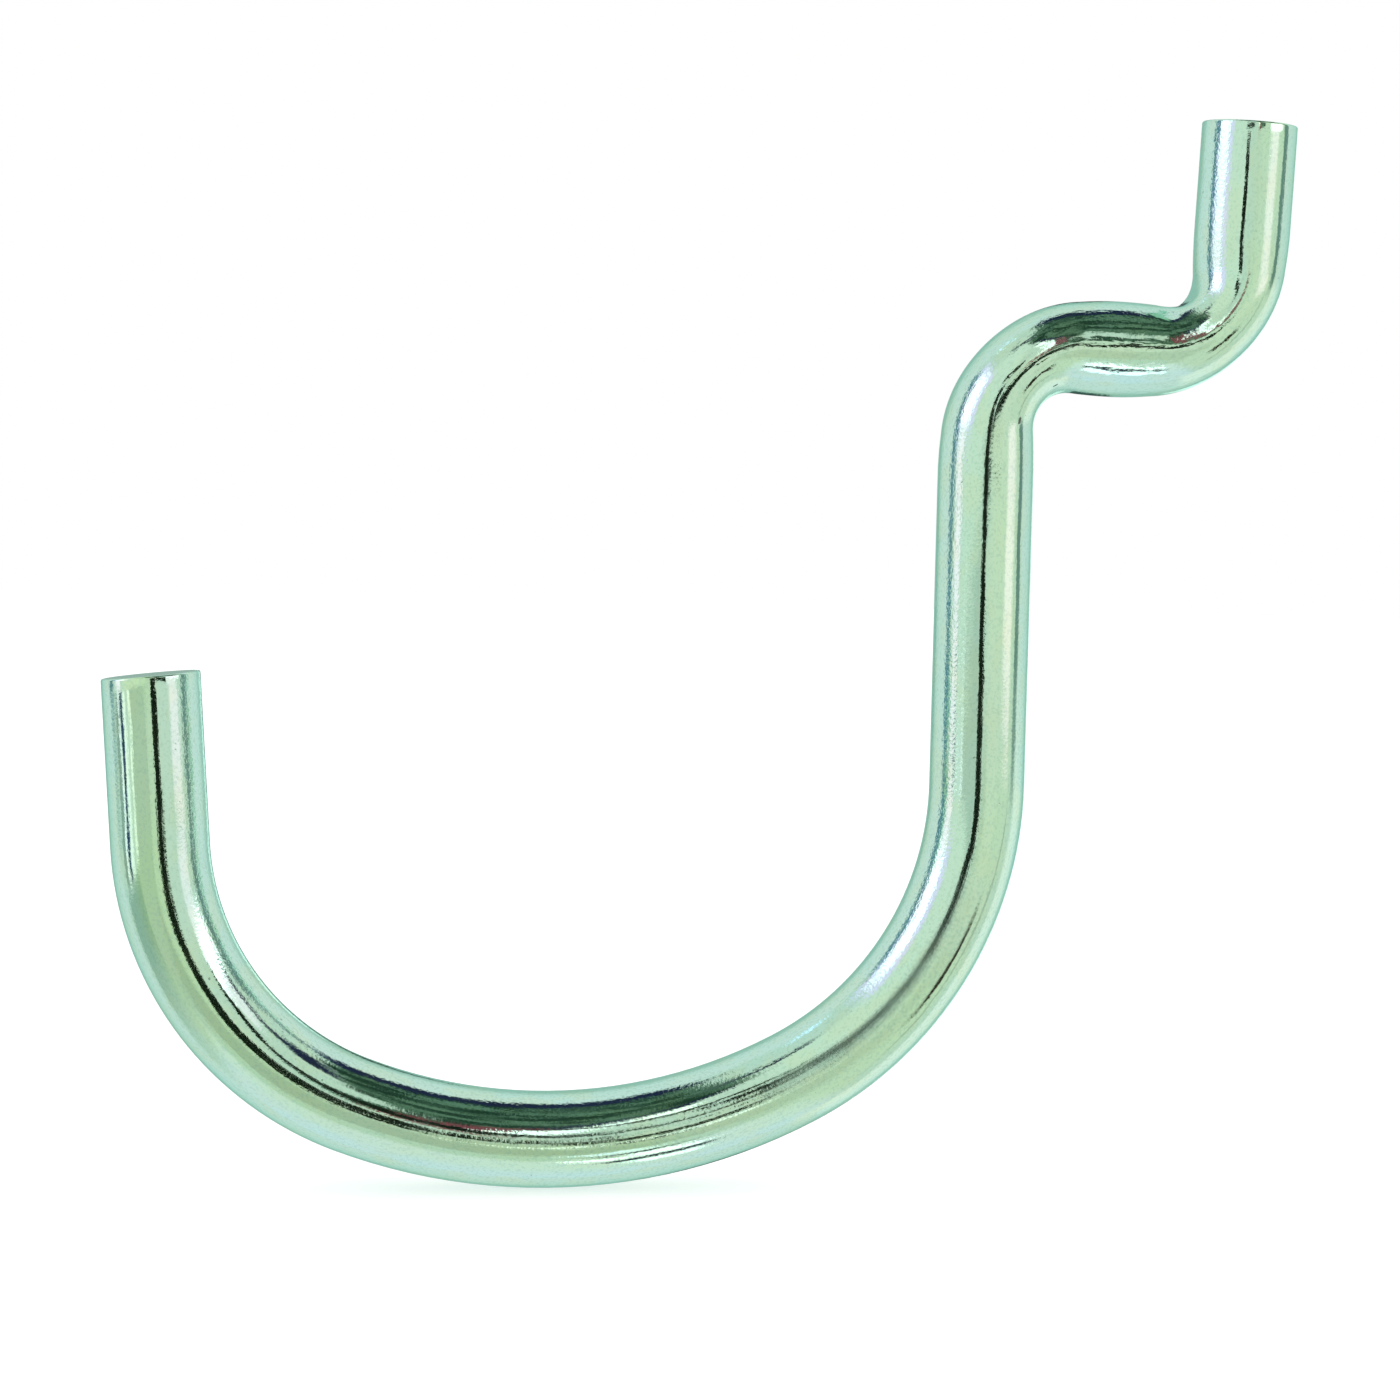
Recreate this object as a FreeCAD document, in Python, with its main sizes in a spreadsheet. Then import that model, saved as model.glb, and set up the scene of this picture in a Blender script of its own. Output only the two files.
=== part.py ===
import FreeCAD, Part
import math
import os
import Sketcher

# Pegboard hook
# One length of round steel wire, cold bent in a single upright plane and zinc plated.
# From its front end it runs down the front leg, round the nose, belly and heel of the
# J, up the shank that lies on the board, over the crank, through the board as the neck,
# and up the peg that stands behind the board.
#
# Frame: +Z is up, +X goes into the wall, and the wire's centre line lies at Y = 0.
# The board's front face is at X = 0, and the neck's axis crosses it at the origin.
# Lengths are in millimetres and angles in degrees.

SIZES = (
    ("wire_diameter", 5.7, "round wire, a sliding fit in a quarter inch board hole"),
    ("leg_length", 10.0, "straight part of the front leg"),
    ("leg_lean", 4.0, "front leg off upright, its end outwards"),
    ("nose_radius", 17.5, "centre line of the bend below the front leg"),
    ("nose_turn", 65.0, "turn of that bend"),
    ("belly_radius", 32.0, "centre line of the wide bend that carries the load"),
    ("belly_turn", 48.5, "turn of that bend"),
    ("heel_radius", 20.0, "centre line of the bend up to the shank"),
    ("shank_length", 21.0, "straight part that lies on the board"),
    ("crank_radius", 5.3, "centre line of the bend from the shank into the board"),
    ("neck_length", 4.6, "straight part between the two tight bends"),
    ("neck_slope", 1.0, "neck off level, falling towards the wall"),
    ("peg_radius", 5.2, "centre line of the bend behind the board"),
    ("peg_length", 8.9, "straight part of the peg"),
    ("peg_lean", 2.5, "peg off upright, its end away from the board"),
    ("bend_squash", 0.8, "thickness lost in the middle of a tight bend, under the tool"),
    ("bend_swell", 0.2, "width gained there along Y"),
    ("bend_shift", 0.1, "centre of the section there, towards the inside of the bend"),
    ("bend_fade", 0.2, "share of these three left at either end of the arc"),
    ("end_round", 0.35, "round on the rims of the two cut ends"),
)

# Sketch references: the root point, the level axis, and the points of a line or an arc.
ROOT = (-1, 1)
LEVEL_AXIS = -1
START, END, CENTRE = 1, 2, 3

# The centre line's stretches, in order from the front end, by the feature that follows them.
BOW = ("leg", "nose", "belly", "heel", "shank")
BENDS = ("shank_top", "crank", "neck", "peg_bend", "peg_foot")
PEG = ("peg",)


def make_sheet(doc):
    """The driving sizes, each with its name and what it measures."""
    sheet = doc.addObject("Spreadsheet::Sheet", "sizes")
    for row, (alias, value, note) in enumerate(SIZES, start=1):
        sheet.set("A%d" % row, alias)
        sheet.set("B%d" % row, str(value))
        sheet.set("C%d" % row, note)
        sheet.setAlias("B%d" % row, alias)
    doc.recompute()
    return sheet


def bind(sketch, expression, *constraint):
    """Adds a driving constraint to the sketch and ties its value to the sheet."""
    index = sketch.addConstraint(Sketcher.Constraint(*constraint))
    sketch.setExpression("Constraints[%d]" % index, expression)


class Walk:
    """A chain of tangent lines and arcs, each starting where the last one ended.

    The heading is in degrees, anticlockwise from the sketch's X axis, and so is a
    positive turn.
    """

    def __init__(self, heading):
        self.heading = heading
        self.point = FreeCAD.Vector(0, 0, 0)
        self.pieces = []
        self.ends = []

    def reach(self, heading, length):
        angle = math.radians(heading)
        return FreeCAD.Vector(math.cos(angle), math.sin(angle), 0) * length

    def add(self, piece, near, far):
        self.pieces.append(piece)
        self.ends.append((near, far))
        return len(self.pieces) - 1

    def line(self, length):
        start = self.point
        self.point = start + self.reach(self.heading, length)
        return self.add(Part.LineSegment(start, self.point), START, END)

    def arc(self, radius, turn):
        side = math.copysign(90, turn)
        centre = self.point + self.reach(self.heading + side, radius)
        low, high = sorted((self.heading - side, self.heading + turn - side))
        circle = Part.Circle(centre, FreeCAD.Vector(0, 0, 1), radius)
        self.heading += turn
        self.point = centre + self.reach(self.heading - side, radius)
        near, far = (START, END) if turn > 0 else (END, START)
        return self.add(Part.ArcOfCircle(circle, math.radians(low), math.radians(high)), near, far)

    def draw(self, sketch, shift):
        for piece in self.pieces:
            piece.translate(shift)
        sketch.addGeometry(self.pieces)
        for index in range(1, len(self.pieces)):
            far, near = self.ends[index - 1][1], self.ends[index][0]
            sketch.addConstraint(Sketcher.Constraint("Tangent", index - 1, far, index, near))


def make_centreline(body, sheet):
    """The wire's centre line, from the front end to the end of the peg.

    The flattening of each tight bend dies away over half the neck's length on either
    side of its arc, so the straight runs beside the arcs are drawn in two parts.
    """
    size = sheet.get
    half_neck = size("neck_length") / 2
    upright_plane = next(item for item in body.Origin.OriginFeatures if item.Role == "XZ_Plane")
    sketch = body.newObject("Sketcher::SketchObject", "centreline")
    sketch.AttachmentSupport = [(upright_plane, "")]
    sketch.MapMode = "FlatFace"

    walk = Walk(size("leg_lean") - 90)
    leg = walk.line(size("leg_length"))
    nose = walk.arc(size("nose_radius"), size("nose_turn"))
    belly = walk.arc(size("belly_radius"), size("belly_turn"))
    heel = walk.arc(size("heel_radius"), 90 - walk.heading)
    shank = walk.line(size("shank_length") - half_neck)
    shank_top = walk.line(half_neck)
    top_of_shank = walk.point
    crank = walk.arc(size("crank_radius"), -90 - size("neck_slope"))
    neck = walk.line(size("neck_length"))
    peg_bend = walk.arc(size("peg_radius"), 90 - size("peg_lean") - walk.heading)
    peg_foot = walk.line(half_neck)
    peg = walk.line(size("peg_length") - half_neck)
    walk.draw(sketch, FreeCAD.Vector(-size("wire_diameter") / 2, -size("crank_radius"), 0) - top_of_shank)

    bind(sketch, "sizes.leg_length", "Distance", leg, size("leg_length"))
    bind(sketch, "(sizes.leg_lean - 90) * 1 deg", "Angle", leg, math.radians(size("leg_lean") - 90))
    for arc, name in ((nose, "nose"), (belly, "belly"), (heel, "heel"), (crank, "crank"), (peg_bend, "peg")):
        bind(sketch, "sizes.%s_radius" % name, "Radius", arc, size("%s_radius" % name))
    for arc, name in ((nose, "nose"), (belly, "belly")):
        turn = size("%s_turn" % name)
        bind(sketch, "sizes.%s_turn * 1 deg" % name, "Angle", arc, math.radians(turn))

    sketch.addConstraint(Sketcher.Constraint("Vertical", shank))
    bind(sketch, "sizes.shank_length", "Distance", shank, START, shank_top, END, size("shank_length"))
    bind(sketch, "sizes.wire_diameter / 2", "DistanceX", shank_top, END, *ROOT, size("wire_diameter") / 2)

    sketch.addConstraint(Sketcher.Constraint("PointOnObject", *ROOT, neck))
    bind(sketch, "sizes.neck_length", "Distance", neck, size("neck_length"))
    bind(sketch, "-sizes.neck_slope * 1 deg", "Angle", neck, -math.radians(size("neck_slope")))
    for line in (shank_top, peg_foot):
        bind(sketch, "sizes.neck_length / 2", "Distance", line, half_neck)

    bind(sketch, "sizes.peg_length", "Distance", peg_foot, START, peg, END, size("peg_length"))
    bind(sketch, "(90 - sizes.peg_lean) * 1 deg", "Angle", peg, math.radians(90 - size("peg_lean")))

    return sketch, {name: "Edge%d" % number for number, name in enumerate(BOW + BENDS + PEG, start=1)}


def attach_section(body, centreline, name, arc, place):
    """A sketch square to the centre line at a place on an arc, from 0 to 1 anticlockwise.

    Its X axis points out of the bend, its Y axis lies across the hook's plane, and its
    Z axis runs along the wire, the clockwise way round the bend.
    """
    sketch = body.newObject("Sketcher::SketchObject", name)
    sketch.AttachmentSupport = [(centreline, arc)]
    sketch.MapMode = "FrenetNB"
    sketch.MapPathParameter = place
    return sketch


def make_round_section(body, sheet, centreline, name, arc, place, beyond):
    """The wire's full round section, straight on from one end of an arc.

    The quarter turn puts the circle's seam where the flattened sections have theirs.
    """
    sketch = attach_section(body, centreline, name, arc, place)
    quarter_turn = FreeCAD.Rotation(FreeCAD.Vector(0, 0, 1), 90)
    sketch.AttachmentOffset = FreeCAD.Placement(FreeCAD.Vector(0, 0, 0), quarter_turn)
    sketch.setExpression("AttachmentOffset.Base.z", beyond)

    radius = sheet.get("wire_diameter") / 2
    circle = sketch.addGeometry(Part.Circle(FreeCAD.Vector(0, 0, 0), FreeCAD.Vector(0, 0, 1), radius))
    sketch.addConstraint(Sketcher.Constraint("Coincident", circle, CENTRE, *ROOT))
    bind(sketch, "sizes.wire_diameter / 2", "Radius", circle, radius)
    return sketch


def make_flat_section(body, sheet, centreline, name, arc, place, share):
    """The section under the bending tool: thinner across the bend, wider along Y.

    share is the part of the full flattening that is reached there, as an expression.
    """
    size = sheet.get
    sketch = attach_section(body, centreline, name, arc, place)
    half_width = (size("wire_diameter") + size("bend_swell")) / 2
    half_thickness = (size("wire_diameter") - size("bend_squash")) / 2
    centre = FreeCAD.Vector(-size("bend_shift"), 0, 0)
    wide_end = centre + FreeCAD.Vector(0, half_width, 0)
    thin_end = centre + FreeCAD.Vector(half_thickness, 0, 0)
    ellipse = sketch.addGeometry(Part.Ellipse(wide_end, thin_end, centre))
    sketch.exposeInternalGeometry(ellipse)
    width_line, thickness_line = ellipse + 1, ellipse + 2

    sketch.addConstraint(Sketcher.Constraint("Vertical", width_line))
    sketch.addConstraint(Sketcher.Constraint("PointOnObject", ellipse, CENTRE, LEVEL_AXIS))
    width = "sizes.wire_diameter + sizes.bend_swell * " + share
    thickness = "sizes.wire_diameter - sizes.bend_squash * " + share
    bind(sketch, "sizes.bend_shift * " + share, "DistanceX", ellipse, CENTRE, *ROOT, size("bend_shift"))
    bind(sketch, width, "Distance", width_line, half_width * 2)
    bind(sketch, thickness, "Distance", thickness_line, half_thickness * 2)
    return sketch


def make_bends(body, sheet, centreline, edge):
    """The crank, the neck and the peg's bend, from full round to full round.

    Each bend is flattened most in its middle, and the wire is round again halfway
    along the neck.
    """
    crank, peg_bend = edge["crank"], edge["peg_bend"]
    half_neck = "sizes.neck_length / 2"

    def full_round(name, arc, place, beyond):
        return make_round_section(body, sheet, centreline, name, arc, place, beyond)

    def flattened(name, arc, place, share="sizes.bend_fade"):
        return make_flat_section(body, sheet, centreline, name, arc, place, share)

    sections = [
        full_round("crank_foot", crank, 1, "-" + half_neck),
        flattened("crank_start", crank, 1),
        flattened("crank_middle", crank, 0.5, "1"),
        flattened("crank_end", crank, 0),
        full_round("mid_neck", crank, 0, half_neck),
        flattened("peg_bend_start", peg_bend, 0),
        flattened("peg_bend_middle", peg_bend, 0.5, "1"),
        flattened("peg_bend_end", peg_bend, 1),
        full_round("peg_foot", peg_bend, 1, "-" + half_neck),
    ]
    bends = body.newObject("PartDesign::AdditivePipe", "bends")
    bends.Profile = sections[0]
    bends.Spine = (centreline, [edge[name] for name in BENDS])
    bends.Transformation = "Multisection"
    bends.Sections = sections[1:]
    return sections[-1]


def make_hook(doc, sheet):
    """The whole hook: the J with its shank, the tight bends and the peg."""
    body = doc.addObject("PartDesign::Body", "hook")
    body.Label = "hook"
    centreline, edge = make_centreline(body, sheet)

    peg_foot = make_bends(body, sheet, centreline, edge)
    doc.recompute()

    tip = make_round_section(body, sheet, centreline, "tip", edge["nose"], 0, "sizes.leg_length")
    bow = body.newObject("PartDesign::AdditivePipe", "bow")
    bow.Profile = tip
    bow.Spine = (centreline, [edge[name] for name in BOW])
    doc.recompute()

    peg = body.newObject("PartDesign::Pad", "peg")
    peg.Profile = peg_foot
    peg.Reversed = True
    peg.setExpression("Length", "sizes.peg_length - sizes.neck_length / 2")
    doc.recompute()

    rims = body.newObject("PartDesign::Fillet", "rims")
    rims.Base = (peg, cut_end_edges(peg.Shape))
    rims.setExpression("Radius", "sizes.end_round")
    doc.recompute()
    return body


def cut_end_edges(shape):
    """The rims of the two cut ends, which are the shape's only flat faces."""
    flat_faces = [face for face in shape.Faces if isinstance(face.Surface, Part.Plane)]
    rims = [edge for face in flat_faces for edge in face.Edges]
    return ["Edge%d" % number for number, edge in enumerate(shape.Edges, start=1)
            if any(edge.isSame(rim) for rim in rims)]


def check(doc, sub_parts):
    """Stops before anything is written if an object failed or a shape isn't sound."""
    for item in doc.Objects:
        if "Invalid" in item.State or "Error" in item.State:
            raise RuntimeError("%s failed: %s" % (item.Label, item.State))
    for sub_part in sub_parts:
        if sub_part.Shape.isNull() or not sub_part.Shape.isValid():
            raise RuntimeError("%s has no sound shape" % sub_part.Label)


doc = FreeCAD.newDocument("pegboard_hook")
sub_parts = [make_hook(doc, make_sheet(doc))]
doc.recompute()
check(doc, sub_parts)
os.makedirs("parts", exist_ok=True)
for sub_part in sub_parts:
    sub_part.Shape.exportStep("parts/%s.step" % sub_part.Label)
    print(sub_part.Label, round(sub_part.Shape.Volume, 1), "mm3")
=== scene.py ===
import bmesh
import bpy
from math import ceil, copysign, cos, pi, radians, sin
from mathutils import Matrix, Vector


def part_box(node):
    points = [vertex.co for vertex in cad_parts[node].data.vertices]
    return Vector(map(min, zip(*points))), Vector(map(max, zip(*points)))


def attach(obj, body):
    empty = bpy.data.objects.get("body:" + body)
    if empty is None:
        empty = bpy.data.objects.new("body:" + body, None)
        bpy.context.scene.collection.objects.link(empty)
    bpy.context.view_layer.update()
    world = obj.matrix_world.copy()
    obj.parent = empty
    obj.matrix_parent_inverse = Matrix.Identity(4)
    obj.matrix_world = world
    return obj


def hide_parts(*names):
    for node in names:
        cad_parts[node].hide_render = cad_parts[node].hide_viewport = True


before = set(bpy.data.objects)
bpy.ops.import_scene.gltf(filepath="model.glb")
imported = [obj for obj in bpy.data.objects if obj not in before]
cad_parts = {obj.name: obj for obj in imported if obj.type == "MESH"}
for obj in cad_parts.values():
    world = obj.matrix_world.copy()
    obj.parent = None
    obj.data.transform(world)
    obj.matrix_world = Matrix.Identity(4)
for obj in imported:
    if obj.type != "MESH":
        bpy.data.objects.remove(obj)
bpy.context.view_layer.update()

mm = 0.001

# ---------------------------------------------------------------- the wire
# One length of hard drawn round steel wire. A bender feeds it straight on or wraps it round
# a pin, always in one upright plane: first the J with its long shank, then the two tight
# bends of the crank and the peg, which hook through the board.
wire_radius = 5.7 / 2 * mm
ring_points = 96                    # vertices round the wire

leg_lean = radians(4)               # the front leg's end stands outwards
leg_length = 10.0 * mm
nose_radius, nose_turn = 17.5 * mm, radians(65)
belly_radius, belly_turn = 32.0 * mm, radians(48.5)
heel_radius = 20.0 * mm
heel_turn = radians(180) - leg_lean - nose_turn - belly_turn
shank_length = 21.0 * mm
neck_slope = radians(1)             # the neck falls a little towards the wall
crank_radius, crank_turn = 5.3 * mm, radians(90) + neck_slope
neck_length = 4.6 * mm
peg_lean = radians(2.5)             # the peg's end stands away from the board
peg_radius, peg_turn = 5.2 * mm, radians(90) + neck_slope - peg_lean
peg_length = 8.9 * mm

# In the middle of a tight bend the tool leaves the wire thinner, a little wider across the
# hook's plane and shifted to the inside. It dies away over half of the neck, or as much of
# the shank and of the peg.
squash, swell, shift = 0.8 * mm, 0.2 * mm, 0.1 * mm
crank_middle = (leg_length + nose_radius * nose_turn + belly_radius * belly_turn
                + heel_radius * heel_turn + shank_length + crank_radius * crank_turn / 2)
peg_middle = crank_middle + crank_radius * crank_turn / 2 + neck_length + peg_radius * peg_turn / 2
tight_bends = ((crank_middle, crank_radius * crank_turn / 2 + neck_length / 2, -1),
               (peg_middle, peg_radius * peg_turn / 2 + neck_length / 2, 1))


class Bender:
    """A wire bender. It works on the selected ring of vertices, the end of the wire so far.

    The attribute "straight" keeps where each vertex was before the wire was bent: its place
    to the left of the wire's run, its place to the front, and its distance from the front
    end. The plating's patterns follow it round every bend.
    """

    def __init__(self, heading):
        self.heading = heading
        self.place = Vector((0, 0, 0))
        self.fed = 0.0
        self.thickness, self.width, self.offset = 1.0, 1.0, 0.0

    def left(self):
        return Vector((-sin(self.heading), 0, cos(self.heading)))

    def ahead(self):
        return Vector((cos(self.heading), 0, sin(self.heading)))

    def feed(self, length, longest=1.0 * mm):
        """Pushes the wire straight on, in rings that are no further apart than longest."""
        rings = ceil(length / longest)
        for _ in range(rings):
            step = self.ahead() * length / rings
            bpy.ops.mesh.extrude_region_move(TRANSFORM_OT_translate={"value": step})
            self.place += step
            self.finish_ring(length / rings)

    def bend(self, radius, turn, widest=radians(2)):
        """Wraps the wire round a pin, to the left where the turn is positive."""
        rings = ceil(abs(turn) / widest)
        to_pin = radius * copysign(1, turn)
        pin = self.place + self.left() * to_pin
        for _ in range(rings):
            bpy.ops.mesh.spin(steps=1, angle=turn / rings, center=pin, axis=(0, 1, 0))
            self.heading += turn / rings
            self.place = pin - self.left() * to_pin
            self.finish_ring(radius * abs(turn) / rings)

    def finish_ring(self, advance):
        self.fed += advance
        self.flatten()
        edited = bmesh.from_edit_mesh(wire.data)
        straight = edited.verts.layers.float_vector["straight"]
        for vertex in edited.verts:
            if vertex.select:
                vertex[straight].z = self.fed

    def flatten(self):
        """Presses the ring as flat as the bending tool leaves the wire at this distance."""
        flatness, inside = 0.0, 0
        for middle, reach, side in tight_bends:
            if abs(self.fed - middle) < reach:
                flatness, inside = cos(pi / 2 * (self.fed - middle) / reach) ** 2, side
        thickness = 1 - squash / (2 * wire_radius) * flatness
        width = 1 + swell / (2 * wire_radius) * flatness
        offset = inside * shift * flatness
        if (thickness, width, offset) != (self.thickness, self.width, self.offset):
            bpy.ops.transform.resize(
                value=(thickness / self.thickness, width / self.width, 1),
                center_override=self.place + self.left() * self.offset,
                orient_matrix=(self.left(), (0, -1, 0), self.ahead()), orient_matrix_type="GLOBAL")
            bpy.ops.transform.translate(value=self.left() * (offset - self.offset))
            self.thickness, self.width, self.offset = thickness, width, offset


bpy.ops.object.select_all(action="DESELECT")
bpy.ops.mesh.primitive_circle_add(vertices=ring_points, radius=wire_radius,
                                  rotation=(0, radians(180) - leg_lean, 0))
wire = bpy.context.object
wire.name = wire.data.name = "hook_wire"
bpy.ops.object.transform_apply(location=True, rotation=True, scale=False)

bender = Bender(heading=leg_lean - radians(90))
straight = wire.data.attributes.new("straight", "FLOAT_VECTOR", "POINT")
for vertex, note in zip(wire.data.vertices, straight.data):
    note.vector = (vertex.co.dot(bender.left()), -vertex.co.y, 0)
leg_end_pivot = bender.left() * wire_radius

bpy.ops.object.mode_set(mode="EDIT")
bpy.ops.mesh.select_all(action="SELECT")
bender.feed(leg_length)
bender.bend(nose_radius, nose_turn)
bender.bend(belly_radius, belly_turn)
bender.bend(heel_radius, heel_turn)
bender.feed(shank_length)
bender.bend(crank_radius, -crank_turn)
bender.feed(neck_length, longest=0.3 * mm)      # closer rings, as the section changes here
bender.bend(peg_radius, peg_turn)
bender.feed(peg_length)

# ---------------------------------------------------------------- the cut ends
# The shear drags the steel over as it cuts. So neither cut is quite square, both rims are a
# little rounded, and the bare faces between them are dull, with lines the way the blade went.
leg_end_slant = radians(2.3)        # low on the outside
peg_end_slant = radians(3.5)        # low at the front
peg_end_loss = 0.11 * mm
end_round, round_segments = 0.12 * mm, 5
end_band = 0.15 * mm

bpy.ops.transform.rotate(value=-peg_end_slant, orient_axis="X", center_override=bender.place)
bpy.ops.transform.translate(value=-bender.ahead() * peg_end_loss)
bpy.ops.mesh.select_mode(type="VERT")
bpy.ops.mesh.select_all(action="DESELECT")
edited = bmesh.from_edit_mesh(wire.data)
straight = edited.verts.layers.float_vector["straight"]
for vertex in edited.verts:
    vertex.select_set(vertex[straight].z == 0)
bpy.ops.transform.rotate(value=leg_end_slant, orient_axis="Y", center_override=leg_end_pivot)

bpy.ops.mesh.select_all(action="SELECT")
bpy.ops.mesh.fill_holes(sides=ring_points)
bpy.ops.mesh.select_mode(type="FACE")
bpy.ops.mesh.select_all(action="DESELECT")
bpy.ops.mesh.select_face_by_sides(number=ring_points)
bpy.ops.mesh.region_to_loop()
bpy.ops.mesh.bevel(offset=end_round, segments=round_segments, affect="EDGES")
bpy.ops.mesh.select_mode(type="FACE")
bpy.ops.mesh.select_all(action="DESELECT")
bpy.ops.mesh.select_face_by_sides(number=ring_points)
bpy.ops.mesh.inset(thickness=end_band)

# ---------------------------------------------------------------- the tool's marks
# The pin of the bending tool nips the wire in the inner corner of the peg's bend, and its
# clamp leaves a shallow dent on the neck. Both are pressed into the finished wire. Each has
# its distance from the front end, degrees round the wire from its front, depth and reach.
pin_nip = (peg_middle, 90, 0.30 * mm, 2.2 * mm)
clamp_dent = (113.4 * mm, 52, 0.12 * mm, 1.0 * mm)

bpy.ops.mesh.select_mode(type="VERT")
bpy.ops.mesh.select_all(action="SELECT")
bpy.ops.mesh.normals_make_consistent(inside=False)
for distance, turned, depth, reach in (pin_nip, clamp_dent):
    bpy.ops.mesh.select_all(action="DESELECT")
    edited = bmesh.from_edit_mesh(wire.data)
    straight = edited.verts.layers.float_vector["straight"]
    spot = Vector((sin(radians(turned)), cos(radians(turned)), distance / wire_radius)) * wire_radius
    pressed = min(edited.verts, key=lambda vertex: (vertex[straight] - spot).length)
    pressed.select_set(True)
    bpy.ops.transform.translate(
        value=-pressed.normal * depth, use_proportional_edit=True,
        proportional_edit_falloff="SMOOTH", proportional_size=reach,
        use_proportional_connected=True)

# ---------------------------------------------------------------- the hook in its place
# The finished wire stands for the whole hook and goes where the frame has it: its lowest
# corner is the one that the frame gives. It is shaded smooth, also over its rounded rims.
smooth_to = radians(35)

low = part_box("hook")[0]
bpy.ops.object.mode_set(mode="OBJECT")
corner = [min(vertex.co[axis] for vertex in wire.data.vertices) for axis in range(3)]
bpy.ops.object.mode_set(mode="EDIT")
bpy.ops.mesh.select_all(action="SELECT")
bpy.ops.transform.translate(value=Vector(low) - Vector(corner))
bpy.ops.object.mode_set(mode="OBJECT")
bpy.ops.object.shade_smooth_by_angle(angle=smooth_to)

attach(wire, "root")
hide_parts("hook")

# ---------------------------------------------------------------- the zinc plate
# A few micrometres of bright zinc over the drawn wire, with a thin clear passivate that tints it
# green and blue.
# The blue of its flanks is partly that tint and partly painted reflection of the pale tent at
# grazing angles.
# It follows every draw line and grain of the steel.


class Shade:
    """A socket of the nodes of a finish. Arithmetic on it adds Math nodes, and node() adds
    any other node: its settings are set first, then the values or links of its inputs."""

    tree = None

    def __init__(self, socket):
        self.socket = socket

    @classmethod
    def node(cls, kind, settings=None, inputs=None, output=0):
        made = cls.tree.nodes.new("ShaderNode" + kind)
        for name, setting in (settings or {}).items():
            setattr(made, name, setting)
        for name, given in (inputs or {}).items():
            if isinstance(given, Shade):
                cls.tree.links.new(given.socket, made.inputs[name])
            else:
                made.inputs[name].default_value = given
        return cls(made.outputs[output])

    @classmethod
    def math(cls, operation, *terms):
        return cls.node("Math", {"operation": operation}, dict(enumerate(terms)))

    @classmethod
    def vector(cls, operation, first, second, output="Vector"):
        return cls.node("VectorMath", {"operation": operation}, {0: first, 1: second}, output)

    @classmethod
    def between(cls, first, second, share):
        """The first colour where share is 0, the second one where it is 1."""
        ends = [end if isinstance(end, Shade) else (*end, 1) for end in (first, second)]
        return cls.node("Mix", {"data_type": "RGBA"},
                        {"Factor": share, 6: ends[0], 7: ends[1]}, output=2)

    def __add__(self, other): return self.math("ADD", self, other)
    def __radd__(self, other): return self.math("ADD", other, self)
    def __sub__(self, other): return self.math("SUBTRACT", self, other)
    def __rsub__(self, other): return self.math("SUBTRACT", other, self)
    def __mul__(self, other): return self.math("MULTIPLY", self, other)
    def __rmul__(self, other): return self.math("MULTIPLY", other, self)
    def __truediv__(self, other): return self.math("DIVIDE", self, other)
    def __rtruediv__(self, other): return self.math("DIVIDE", other, self)

    def rise(self, low, high):
        """From 0 at low to 1 at high, in a smooth step."""
        return self.node("MapRange", {"interpolation_type": "SMOOTHSTEP"},
                         {"Value": self, "From Min": low, "From Max": high})

    def within(self, low, high, soft):
        """1 from low to high, 0 outside."""
        return self.rise(low - soft, low + soft) * (1 - self.rise(high - soft, high + soft))

    def feed(self, name):
        self.tree.links.new(self.socket, self.tree.nodes["Principled BSDF"].inputs[name])


zinc = bpy.data.materials.new("bright zinc plate")
zinc.use_nodes = True
plate = zinc.node_tree.nodes["Principled BSDF"].inputs
plate["Metallic"].default_value = 1.0
plate["Specular Tint"].default_value = (0.55, 0.80, 0.72, 1)
Shade.tree = zinc.node_tree

# Places on the straight wire in millimetres. leftward and frontward go from -1 to 1 across
# the wire, and distance is how far from the front end.
place = Shade.node("Attribute", {"attribute_name": "straight"}, output="Vector")
place = Shade.node("VectorMath", {"operation": "SCALE"}, {0: place, "Scale": 1 / mm})
parts = Shade.node("SeparateXYZ", inputs={0: place}).socket.node.outputs
leftward, frontward, distance = (Shade(part) / size for part, size in
                                 zip(parts, (wire_radius / mm, wire_radius / mm, 1)))


def grain(along, across, detail=2.0):
    """Noise on the straight wire, from 0 to 1, with grains of that many millimetres."""
    stretched = Shade.node("Mapping", inputs={
        "Vector": place, "Scale": (1 / across, 1 / across, 1 / along)})
    return Shade.node("TexNoise", inputs={"Vector": stretched, "Scale": 1.0, "Detail": detail})


def nick(distance, turned, length, width):
    """1 on a small mark, so many degrees round the wire from its front, 0 outside."""
    spot = Vector((sin(radians(turned)) * wire_radius / mm,
                   cos(radians(turned)) * wire_radius / mm, distance))
    off = Shade.vector("SUBTRACT", place, spot)
    off = Shade.vector("MULTIPLY", off, (1 / width, 1 / width, 1 / length))
    off = Shade.node("VectorMath", {"operation": "LENGTH"}, {0: off}, output="Value")
    return 1 - (off + grain(0.2, 0.2) * 0.8).rise(0.9, 1.2)


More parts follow.
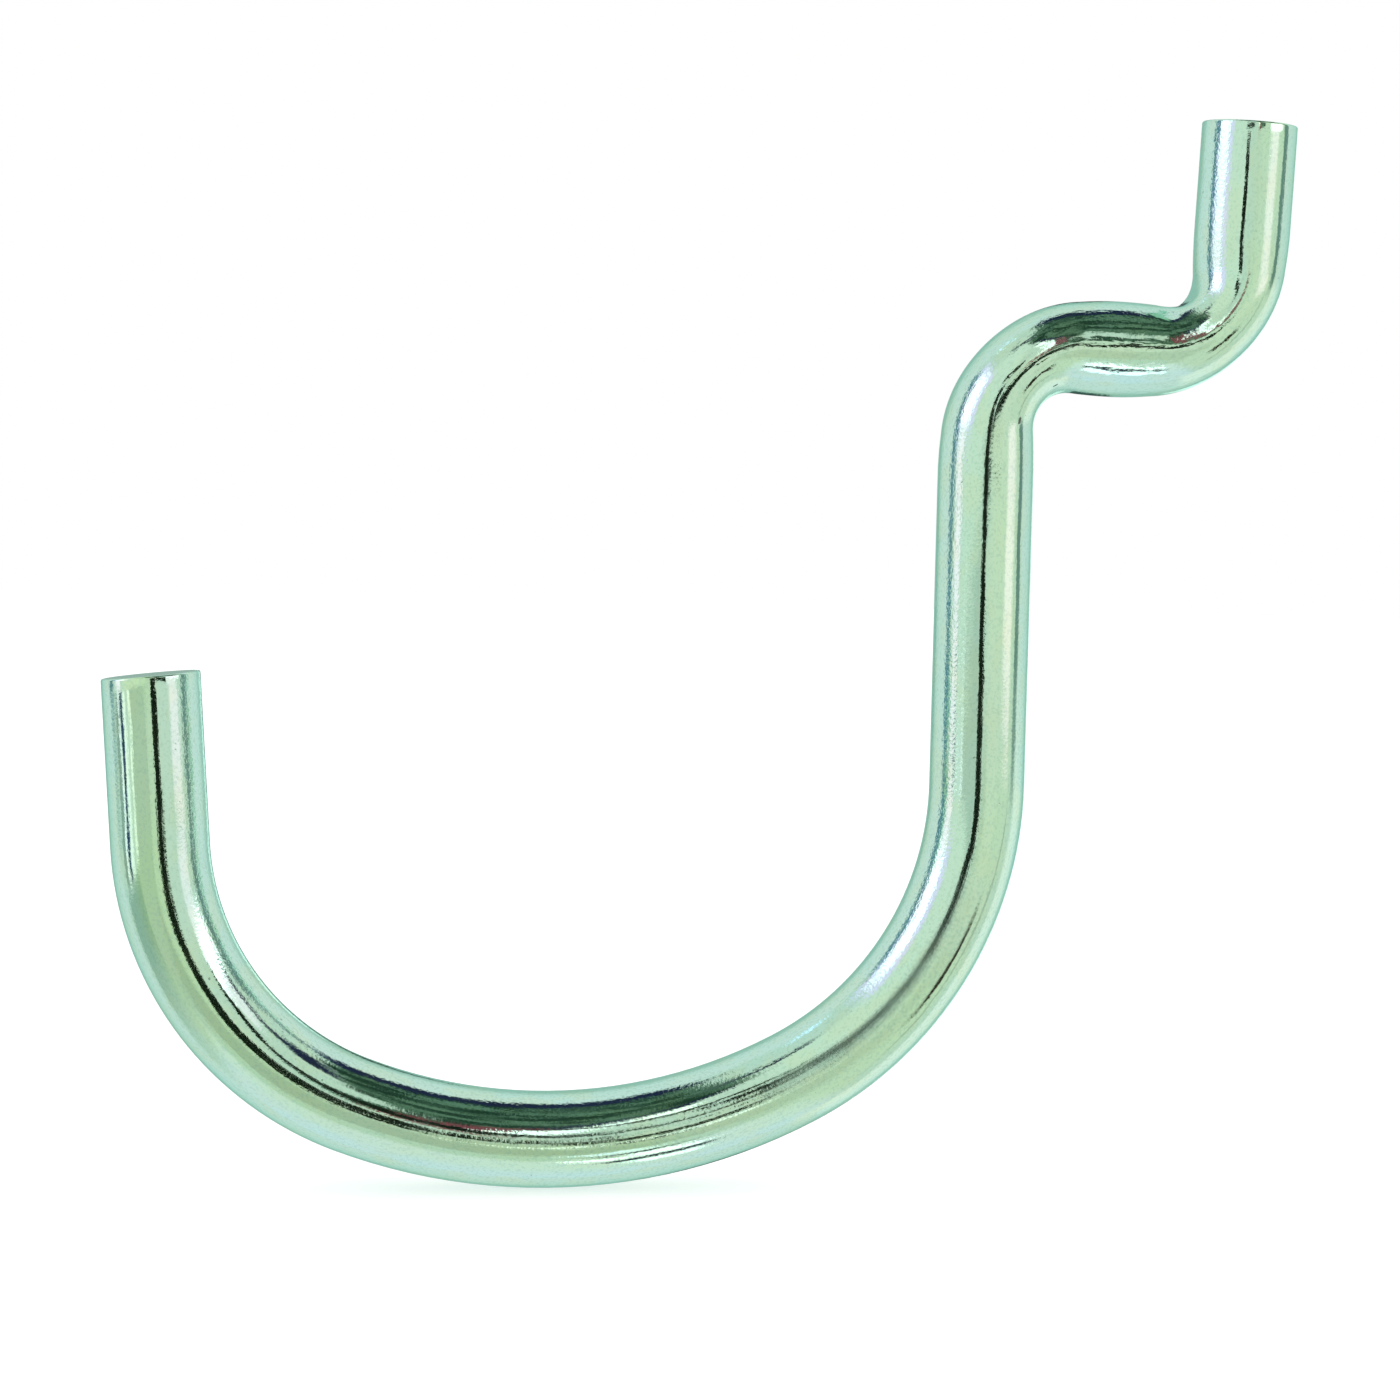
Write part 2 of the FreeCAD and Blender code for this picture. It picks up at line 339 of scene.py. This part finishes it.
outward = 0 - leftward
# the wire's sides, painted bluer below: partly the passivate's tint, partly painted reflection of
# the pale tent at grazing angles
flank = Shade.math("ABSOLUTE", leftward).rise(0.5, 0.8)
inner = leftward.rise(0.40, 0.55) * (1 - distance.within(22, 64, 4))    # but for the belly
# a band just outside the middle, painted yellower below: partly the passivate's tint, partly painted
# reflection
outer = outward.rise(-0.22, 0.02) * (1 - outward.rise(0.4, 0.6))        # next to the middle
drift = grain(9.0, 4.0).rise(0.3, 0.7)              # the passivate, thicker and thinner
clouds = grain(2.4, 1.0).rise(0.45, 0.65)
fine = grain(0.20, 0.16)                            # the steel's own grain
lines = grain(7.0, 0.14)                            # lines of the drawing die
waves = grain(6.0, 3.0)
pits = 1 - grain(0.3, 0.22, detail=0.0).rise(0.10, 0.14)
scars = nick(100.7, -28, 0.5, 0.16) + nick(105.3, -49, 0.45, 0.09)
dull = (distance.within(57, 72, 5) * (1 - leftward.rise(0.3, 0.5))
        * (1 - outward.rise(0.18, 0.36)))           # rubbed, low on the heel
clamped = distance.within(103, 117, 2)              # uneven where the tool held the neck
dented = grain(1.6, 0.7)
from_axis = Shade.math("SQRT", leftward * leftward + frontward * frontward)
sheared = 1 - from_axis.rise(0.90, 0.93)            # the faces of the cut ends
blade = Shade.node("TexNoise", inputs={"Scale": 1.0, "Detail": 3.0, "Vector": Shade.node(
    "Mapping", inputs={"Vector": place, "Scale": (0.5, 8.0, 1.0)})})

# The base colour is pale green, yellower just outside the wire's middle, most of all on the leg, and
# bluer on the flanks.
# The yellower band and the bluer flanks are partly the passivate's tint and partly painted
# reflection.
# Grain, pits, scars and the bare cut faces come on top.
# the band's yellow, strongest on the leg: partly the passivate's tint, partly painted reflection
yellow = Shade.between((0.59, 0.83, 0.50), (0.63, 0.87, 0.60), distance.rise(10, 100))
tint = Shade.between((0.57, 0.82, 0.65), yellow, outer)
for colour, where in (
        ((0.56, 0.83, 0.71), flank),
        ((0.61, 0.82, 0.66), drift * 0.5),
        ((0.64, 0.80, 0.52), clouds * 0.35),
        ((0.42, 0.64, 0.50), fine.rise(0.45, 0.70) * 0.4),
        ((0.16, 0.20, 0.17), pits * 0.5),
        ((0.10, 0.10, 0.08), scars * 0.9),
        ((0.50, 0.58, 0.51), sheared)):
    tint = Shade.between(tint, colour, where)
tint.feed("Base Color")

rough = (grain(3.0, 1.5).rise(0.3, 0.8) * 0.05 + lines.rise(0.4, 0.7) * 0.02 + pits * 0.2
         + scars * 0.3 + sheared * 0.3 + dull * 0.14 + 0.04)
rough.feed("Roughness")

# Heights in millimetres: the plate's own, and on the cut faces only the blade's lines.
height = (fine * (flank * 0.005 + inner * 0.006 + 0.0035) + lines * 0.003 + waves * 0.05
          + clamped * dented * 0.03 - pits * 0.004 - scars * 0.02)
height = height * (1 - sheared) + blade * sheared * 0.03
Shade.node("Bump", inputs={"Height": height, "Distance": mm, "Strength": 1.0}).feed("Normal")
wire.data.materials.append(zinc)

# ---------------------------------------------------------------- the camera
# A close view: the lens is about 175 mm in front of the hook, a little to the open side and
# a little above its middle. A long lens brings the hook to the picture's full width.
middle = Vector((-19.73, 0, -21.53)) * mm
lens_place = Vector((-44.60, -175.42, -12.84)) * mm
roll = radians(1.373)               # the picture leans the hook's top to the right
lens_pixels, picture_pixels = 3000, 1400        # the focal length is in the picture's pixels
sensor_width = 36
nearest = 10 * mm

camera = bpy.data.objects.new("camera", bpy.data.cameras.new("camera"))
bpy.context.scene.collection.objects.link(camera)
camera.data.lens = lens_pixels / picture_pixels * sensor_width
camera.data.clip_start = nearest
back = (lens_place - middle).normalized()
side = Vector((-sin(roll), 0, cos(roll))).cross(back).normalized()
facing = Matrix((side, back.cross(side), back)).transposed().to_4x4()
camera.matrix_world = Matrix.Translation(lens_place) @ facing
bpy.context.scene.camera = camera
bpy.context.scene.view_settings.view_transform = "Standard"

# ---------------------------------------------------------------- the tent
# A tent of white cloth round the hook, lit from outside. The front stays open for the camera,
# and above it the tent is open too, to dark trees. Only the wire's mirroring shows the tent:
# the camera sees plain white, and the light on the table is plain as well.
world = bpy.context.scene.world or bpy.data.worlds.new("tent")
bpy.context.scene.world = world
world.use_nodes = True
world.node_tree.nodes.clear()
Shade.tree = world.node_tree

direction = Shade.node("TexCoord", output="Generated")


def towards(axis):
    return Shade.vector("DOT_PRODUCT", direction, axis, output="Value")


# A direction in the tent, in degrees: how far off the lens, and which way round it, from 0
# above the lens and 90 right of it to 180 below. The opening's front hem slopes by both.
# across goes from -1 on the left to 1 on the right.
level_side = Vector((0, 0, 1)).cross(back).normalized()
across = towards(level_side)
off_lens = Shade.math("ARCCOSINE", towards(back)) * (180 / pi)
turn = Shade.math("ARCTAN2", across, towards(back.cross(level_side))) * (180 / pi)
low_turn = Shade.math("ABSOLUTE", turn)
hem = off_lens + turn * 0.39


def patch(near, far, left, right, soft=2, soft_turn=4):
    """1 between two angles off the lens and two turns round it, 0 outside."""
    return off_lens.within(near, far, soft) * turn.within(left, right, soft_turn)


def lamp_stand(near, far):
    return patch(near, far, -107, -97, soft=0.8, soft_turn=0.8)


def behind(left, right, soft):
    return off_lens.rise(150, 154) * across.within(left, right, soft)


folds = Shade.node("TexNoise", inputs={"Vector": direction, "Scale": 9.0, "Detail": 5.0})
ragged = turn + folds * 12 - 6
opening = hem.rise(42, 44.5)
trees = Shade.between((0.02, 0.05, 0.035), (0.15, 0.24, 0.18), folds.rise(0.44, 0.60))
navy, maroon, white = (0.02, 0.025, 0.07), (0.28, 0.07, 0.10), (1.8, 1.8, 1.9)
seam, glint = (0.20, 0.30, 0.30), (1.9, 2.0, 2.4)

light = Shade.between((0.77, 0.83, 0.79), (0.88, 0.93, 0.88),
                      patch(8, 60, -100, -8, soft=6, soft_turn=10))
for colour, where in (
        # the cloth low in front, to the sides and under the hook
        ((0.82, 0.85, 0.82), patch(8, 46, 84, 118, soft=5)),
        ((0.62, 0.69, 0.66), patch(8, 46, -150, -97, soft=5, soft_turn=5)),
        ((0.42, 0.53, 0.48), off_lens.within(46, 90, 4) * turn.rise(-148, -116)
         * (1 - turn.rise(-110, -106))),
        ((0.66, 0.71, 0.66), patch(12, 44, 114, 144, soft=4, soft_turn=6)),
        ((0.54, 0.60, 0.56), off_lens.within(16, 36, 3) * low_turn.rise(138, 146)),
        ((0.68, 0.78, 0.78), off_lens.within(36, 47, 3) * low_turn.rise(138, 146)),
        ((0.88, 0.93, 1.08), off_lens.within(47, 100, 4) * low_turn.rise(140, 148)),
        # the cloth beside and behind the hook, with a lamp, a post and a seam straight behind
        ((0.88, 0.90, 0.93), off_lens.rise(94, 102)),
        ((1.12, 1.06, 1.06), patch(96, 128, 93, 150, soft=5, soft_turn=3)),
        ((0.66, 0.72, 0.72), off_lens.rise(130, 150)),
        ((1.50, 1.45, 1.55), behind(0.22, 0.40, 0.02)),
        ((0.10, 0.13, 0.13), behind(0.04, 0.13, 0.01)),
        (seam, behind(-0.50, -0.44, 0.01)),
        # the open top between its hems, and what shows beside it
        (trees, opening * off_lens.within(20, 92, 2) * ragged.within(-13, 38, 2)),
        (trees, opening * off_lens.within(20, 32, 1) * ragged.within(37, 66, 3)),
        (navy, off_lens.within(86, 100, 1) * ragged.within(-13, 38, 2)),
        (navy, hem.within(41.5, 45.5, 0.8) * turn.within(-8, 22, 2)),
        (maroon, hem.within(40, 45, 0.8) * turn.within(22, 64, 2)),
        (white, hem.within(36, 40, 0.7) * turn.within(0, 46, 3)),
        (navy, off_lens.within(55, 72, 2) * ragged.within(38, 50, 2)),
        (navy, patch(61, 67, 46, 60, soft=1)),
        (navy, patch(59, 66, -27, -12, soft=2)),
        ((0.22, 0.26, 0.34), patch(90, 95, 36, 92, soft=0.7)),
        ((1.1, 1.35, 1.9), patch(89, 95, -35, -27, soft_turn=2)),
        # the lamps behind the cloth, left and right
        ((1.10, 0.90, 1.40), patch(48, 90, -84, -44, soft=3)),
        ((2.1, 2.1, 2.1), patch(60, 81, -81, -50, soft=3, soft_turn=6)),
        ((1.45, 1.15, 1.35), patch(64, 78, -96, -82)),
        ((1.30, 1.08, 1.25), patch(50, 72, 88, 95, soft=4, soft_turn=2)),
        ((1.25, 1.08, 1.25), patch(46, 67, 60, 88, soft=4, soft_turn=2)),
        ((2.2, 2.0, 2.4), patch(44, 76, 70, 81, soft=3, soft_turn=1)),
        (navy, patch(81, 90, 62, 69, soft=1, soft_turn=1)),
        (navy, patch(64, 71, 59, 68, soft=1, soft_turn=1)),
        # the seams of the tent's front
        (seam, patch(83, 93, 56, 95, soft=1)),
        ((0.50, 0.55, 0.55), patch(75, 78, 98, 134, soft=0.8)),
        ((0.14, 0.28, 0.38), patch(87, 98, -97, -50, soft=1)),
        # the lamp's stand on the left, seen only from the leg
        ((1.25, 1.25, 1.35), lamp_stand(43, 61)),
        ((0.80, 0.86, 0.90), lamp_stand(48, 55)),
        ((0.03, 0.06, 0.16), lamp_stand(62, 69)),
        ((1.35, 1.30, 1.45), lamp_stand(71, 74.5)),
        ((0.36, 0.44, 0.42), lamp_stand(75.5, 84)),
        # small bright things under the hook, and the dark rail beside it
        ((1.8, 1.8, 2.0), patch(18.5, 21.5, 126, 137, soft=0.7)),
        (glint, patch(49, 56, 160, 164, soft=1, soft_turn=0.6)),
        (glint, patch(48, 57, 152.5, 158.5, soft=1, soft_turn=0.6)),
        ((1.2, 1.3, 1.7), patch(37, 42, 151, 158, soft=1, soft_turn=0.8)),
        (navy, patch(43, 47, 151, 159, soft=0.8, soft_turn=0.8)),
        (navy, patch(59, 63, 153, 164, soft=0.8, soft_turn=0.8)),
        ((1.7, 1.9, 2.3), patch(65, 72, 156, 163, soft=1, soft_turn=0.8)),
        ((0.02, 0.006, 0.003), patch(55, 63, 112, 127, soft=0.7, soft_turn=2))):
    light = Shade.between(light, colour, where)

rays = Shade.node("LightPath").socket.node.outputs
mirrored = Shade(rays["Is Glossy Ray"]) + Shade(rays["Is Transmission Ray"])
plain = Shade.between((0.86, 0.88, 0.87), (1, 1, 1), Shade(rays["Is Camera Ray"]))
tent = Shade.node("MixShader", inputs={
    "Fac": mirrored,
    1: Shade.node("Background", inputs={"Color": plain, "Strength": 1.0}),
    2: Shade.node("Background", inputs={"Color": light, "Strength": 1.0})})
out = world.node_tree.nodes.new("ShaderNodeOutputWorld")
world.node_tree.links.new(tent.socket, out.inputs["Surface"])

# ---------------------------------------------------------------- the camera's stand
# The stand and the arms on it, painted matt black. The wire mirrors them as the dark line
# along its middle. Each card has its place right of the lens and above it, its width and its
# height, in millimetres.
black = bpy.data.materials.new("black paint")
black.use_nodes = True
paint = black.node_tree.nodes["Principled BSDF"].inputs
paint["Base Color"].default_value = (0.015, 0.022, 0.015, 1)
paint["Roughness"].default_value = 1
paint["Specular IOR Level"].default_value = 0

for name, right, above, width, height in (
        ("camera_stand", 7, -17, 30, 78),
        ("camera_top", 4, 38, 24, 40),
        ("camera_grip", 25, -24, 13, 30),
        ("camera_arm", 28, 12, 26, 6),
        ("camera_foot", 40, -41, 14, 22),
        ("camera_wheel", 43, -68, 12, 8),
        ("side_arm", 72, 24, 84, 20),
        ("top_arm", 12, 78, 52, 16)):
    bpy.ops.object.select_all(action="DESELECT")
    bpy.ops.mesh.primitive_plane_add(
        size=1, location=lens_place + Vector((right, 0, above)) * mm, rotation=(pi / 2, 0, 0))
    card = bpy.context.object
    card.name = name
    card.scale = (width * mm, height * mm, 1)
    bpy.ops.object.transform_apply(location=False, rotation=False, scale=True)
    card.visible_camera = card.visible_shadow = card.visible_diffuse = False
    card.data.materials.append(black)

# ---------------------------------------------------------------- the table
# A white table under the hook, which shows its soft shadow. It gives off half of the white
# that the camera sees, and the wire mirrors the tent's pale lower half instead of it.
table_side = 4.0

bpy.ops.object.select_all(action="DESELECT")
bpy.ops.mesh.primitive_plane_add(size=table_side, location=(0, 0, low[2]))
table = bpy.context.object
table.name = "table"
table.visible_glossy = False

white_table = bpy.data.materials.new("white table")
white_table.use_nodes = True
Shade.tree = white_table.node_tree
top = white_table.node_tree.nodes["Principled BSDF"].inputs
top["Base Color"].default_value = (0.8, 0.8, 0.8, 1)
top["Roughness"].default_value = 1
top["Specular IOR Level"].default_value = 0
top["Emission Strength"].default_value = 1
rays = Shade.node("LightPath").socket.node.outputs
seen = (Shade(rays["Is Camera Ray"]) + Shade(rays["Is Glossy Ray"])
        + Shade(rays["Is Transmission Ray"]))
Shade.between((0, 0, 0), (0.5, 0.5, 0.5), seen).feed("Emission Color")
table.data.materials.append(white_table)
